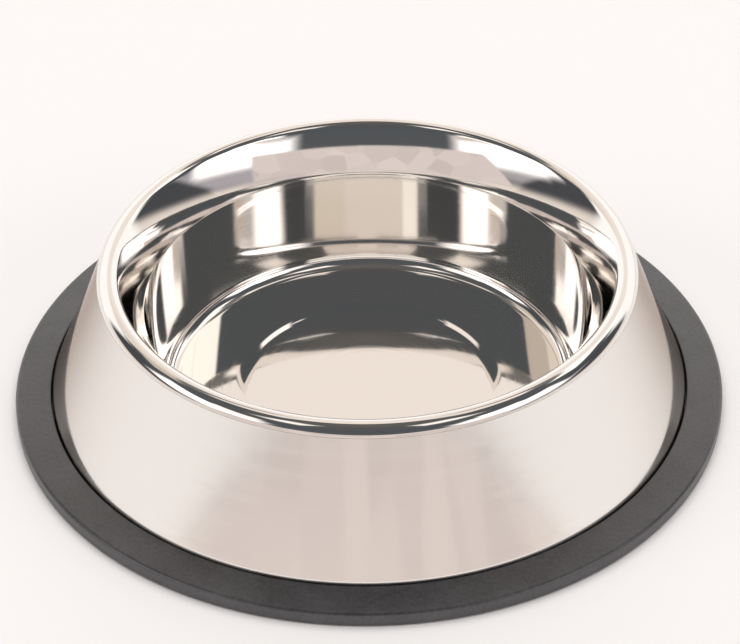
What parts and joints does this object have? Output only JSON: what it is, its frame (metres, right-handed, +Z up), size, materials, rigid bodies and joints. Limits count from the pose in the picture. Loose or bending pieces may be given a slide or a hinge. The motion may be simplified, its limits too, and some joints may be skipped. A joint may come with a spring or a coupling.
{
  "type": "cat bowl",
  "caption": "Low round steel pet bowl: a drafted cup with a rolled rim, set in a flared skirt that stands in a removable non-slip rubber ring.",
  "frame": {"origin": "on the vertical axis, at the underside of the rubber ring", "axes": "+Z up along the axis of the bowl; the shape is turned about it, so +X and +Y are free"},
  "size_m": [0.15, 0.15, 0.0336],
  "materials": {
    "polished_steel": "polished, faint turning marks",
    "satin_steel": "satin polished",
    "black_rubber": "matte, fine grain"
  },
  "bodies": {
    "ring": {"rubber_ring": "black_rubber"},
    "bowl": {"inner_bowl": "polished_steel", "outer_skirt": "satin_steel"}
  },
  "joints": [
    {"name": "bowl_lift", "type": "slide", "parent": "ring", "child": "bowl", "axis": [0, 0, 1], "range_m": [0, 0.02]}
  ]
}
